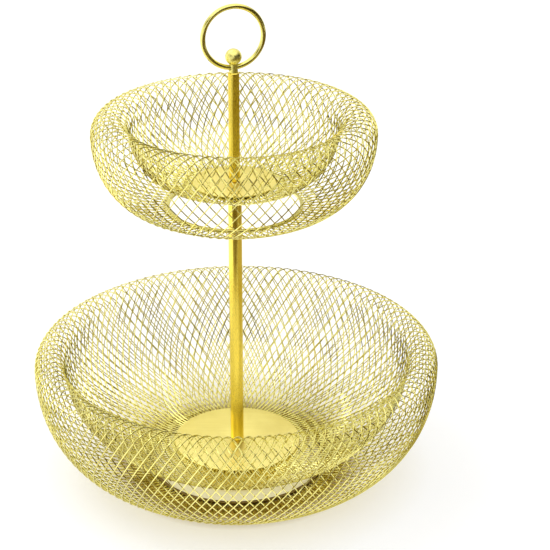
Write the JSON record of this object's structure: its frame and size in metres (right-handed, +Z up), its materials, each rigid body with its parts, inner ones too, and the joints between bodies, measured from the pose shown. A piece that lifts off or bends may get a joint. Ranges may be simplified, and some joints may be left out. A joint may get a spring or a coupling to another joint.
{
  "type": "tiered wire basket",
  "caption": "Gold-coloured wire basket with a wide lower bowl and a smaller upper bowl of diamond mesh on a centre rod, topped by a ball and a swinging ring handle.",
  "frame": {"origin": "centre of the foot hoop on the table", "axes": "+Z up along the centre rod, -Y towards the viewer of the picture, +X to the viewer's right"},
  "size_m": [0.3, 0.3, 0.3607],
  "materials": {
    "gold_wire": "gold-coloured plated wire, bright",
    "gold_hoop": "gold-coloured plated strip, bright",
    "satin_plate": "pale gold plating, satin",
    "polished_gold": "gold-coloured plating, polished",
    "zinc_steel": "zinc plated"
  },
  "bodies": {
    "stand": {"lower_left_wires": "gold_wire", "lower_right_wires": "gold_wire", "lower_hoop": "gold_hoop", "lower_plate": "satin_plate", "lower_clamp": "satin_plate", "base_washer": "zinc_steel", "base_screw": "zinc_steel", "lower_rod": "polished_gold", "joining_stud": "zinc_steel", "upper_left_wires": "gold_wire", "upper_right_wires": "gold_wire", "upper_hoop": "gold_hoop", "upper_plate": "satin_plate", "upper_clamp": "satin_plate", "upper_rod": "polished_gold", "finial": "polished_gold"},
    "handle": {"ring_handle": "polished_gold"}
  },
  "joints": [
    {"name": "ring_pivot", "type": "hinge", "parent": "stand", "child": "handle", "pos_m": [0, 0, 0.315], "axis": [0.9511, 0.309, 0], "range_deg": [-172, 172]}
  ]
}
